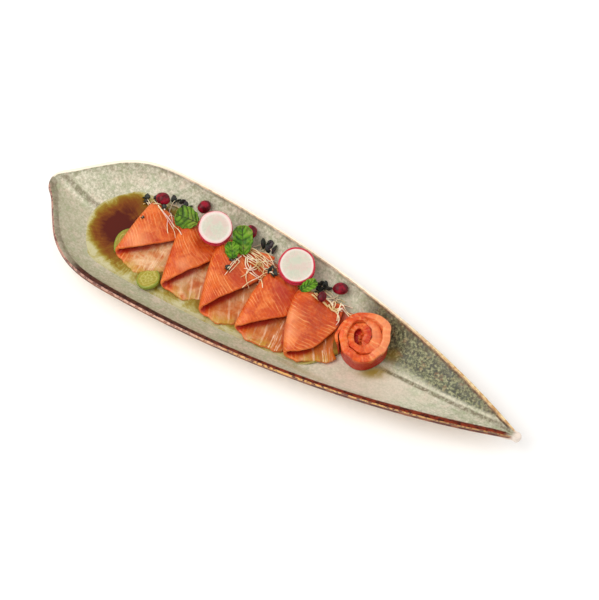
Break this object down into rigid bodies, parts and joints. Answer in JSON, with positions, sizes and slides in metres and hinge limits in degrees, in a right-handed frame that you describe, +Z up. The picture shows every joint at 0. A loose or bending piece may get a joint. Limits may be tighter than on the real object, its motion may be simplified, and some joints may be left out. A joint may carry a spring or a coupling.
{
  "type": "plated sliced salmon dish",
  "caption": "Folded raw salmon slices and a salmon rose in citrus soy sauce, with radish, sorrel, sprouts and pomegranate, on a long leaf-shaped stoneware dish.",
  "frame": {"origin": "on the surface that the dish stands on, under the middle of the dish", "axes": "+X along the leaf to its pointed tip, +Y to the side where the garnish lies, +Z up"},
  "size_m": [0.38, 0.108, 0.0357],
  "materials": {
    "glaze": "glossy, speckled",
    "sauce": "glossy, paler at the edge",
    "salmon": "moist, semi-gloss",
    "cucumber": "moist",
    "radish": "moist",
    "sorrel": "satin",
    "aril": "glossy",
    "sprout": "moist"
  },
  "bodies": {
    "root": {"dish": "glaze", "ponzu_sauce": "sauce", "salmon_slice_1": "salmon", "salmon_slice_2": "salmon", "salmon_slice_3": "salmon", "salmon_slice_4": "salmon", "salmon_slice_5": "salmon", "salmon_rose": "salmon", "cucumber_1": "cucumber", "cucumber_2": "cucumber", "pomegranate_1": "aril", "pomegranate_2": "aril", "pomegranate_3": "aril", "pomegranate_4": "aril", "pomegranate_5": "aril", "radish_1_under": "radish", "radish_1": "radish", "radish_2_under": "radish", "radish_2": "radish", "sorrel_1": "sorrel", "sorrel_2": "sorrel", "sorrel_3": "sorrel", "sorrel_4": "sorrel", "sprouts_left": "sprout", "sprouts_mid": "sprout", "sprouts_right": "sprout"}
  },
  "joints": []
}
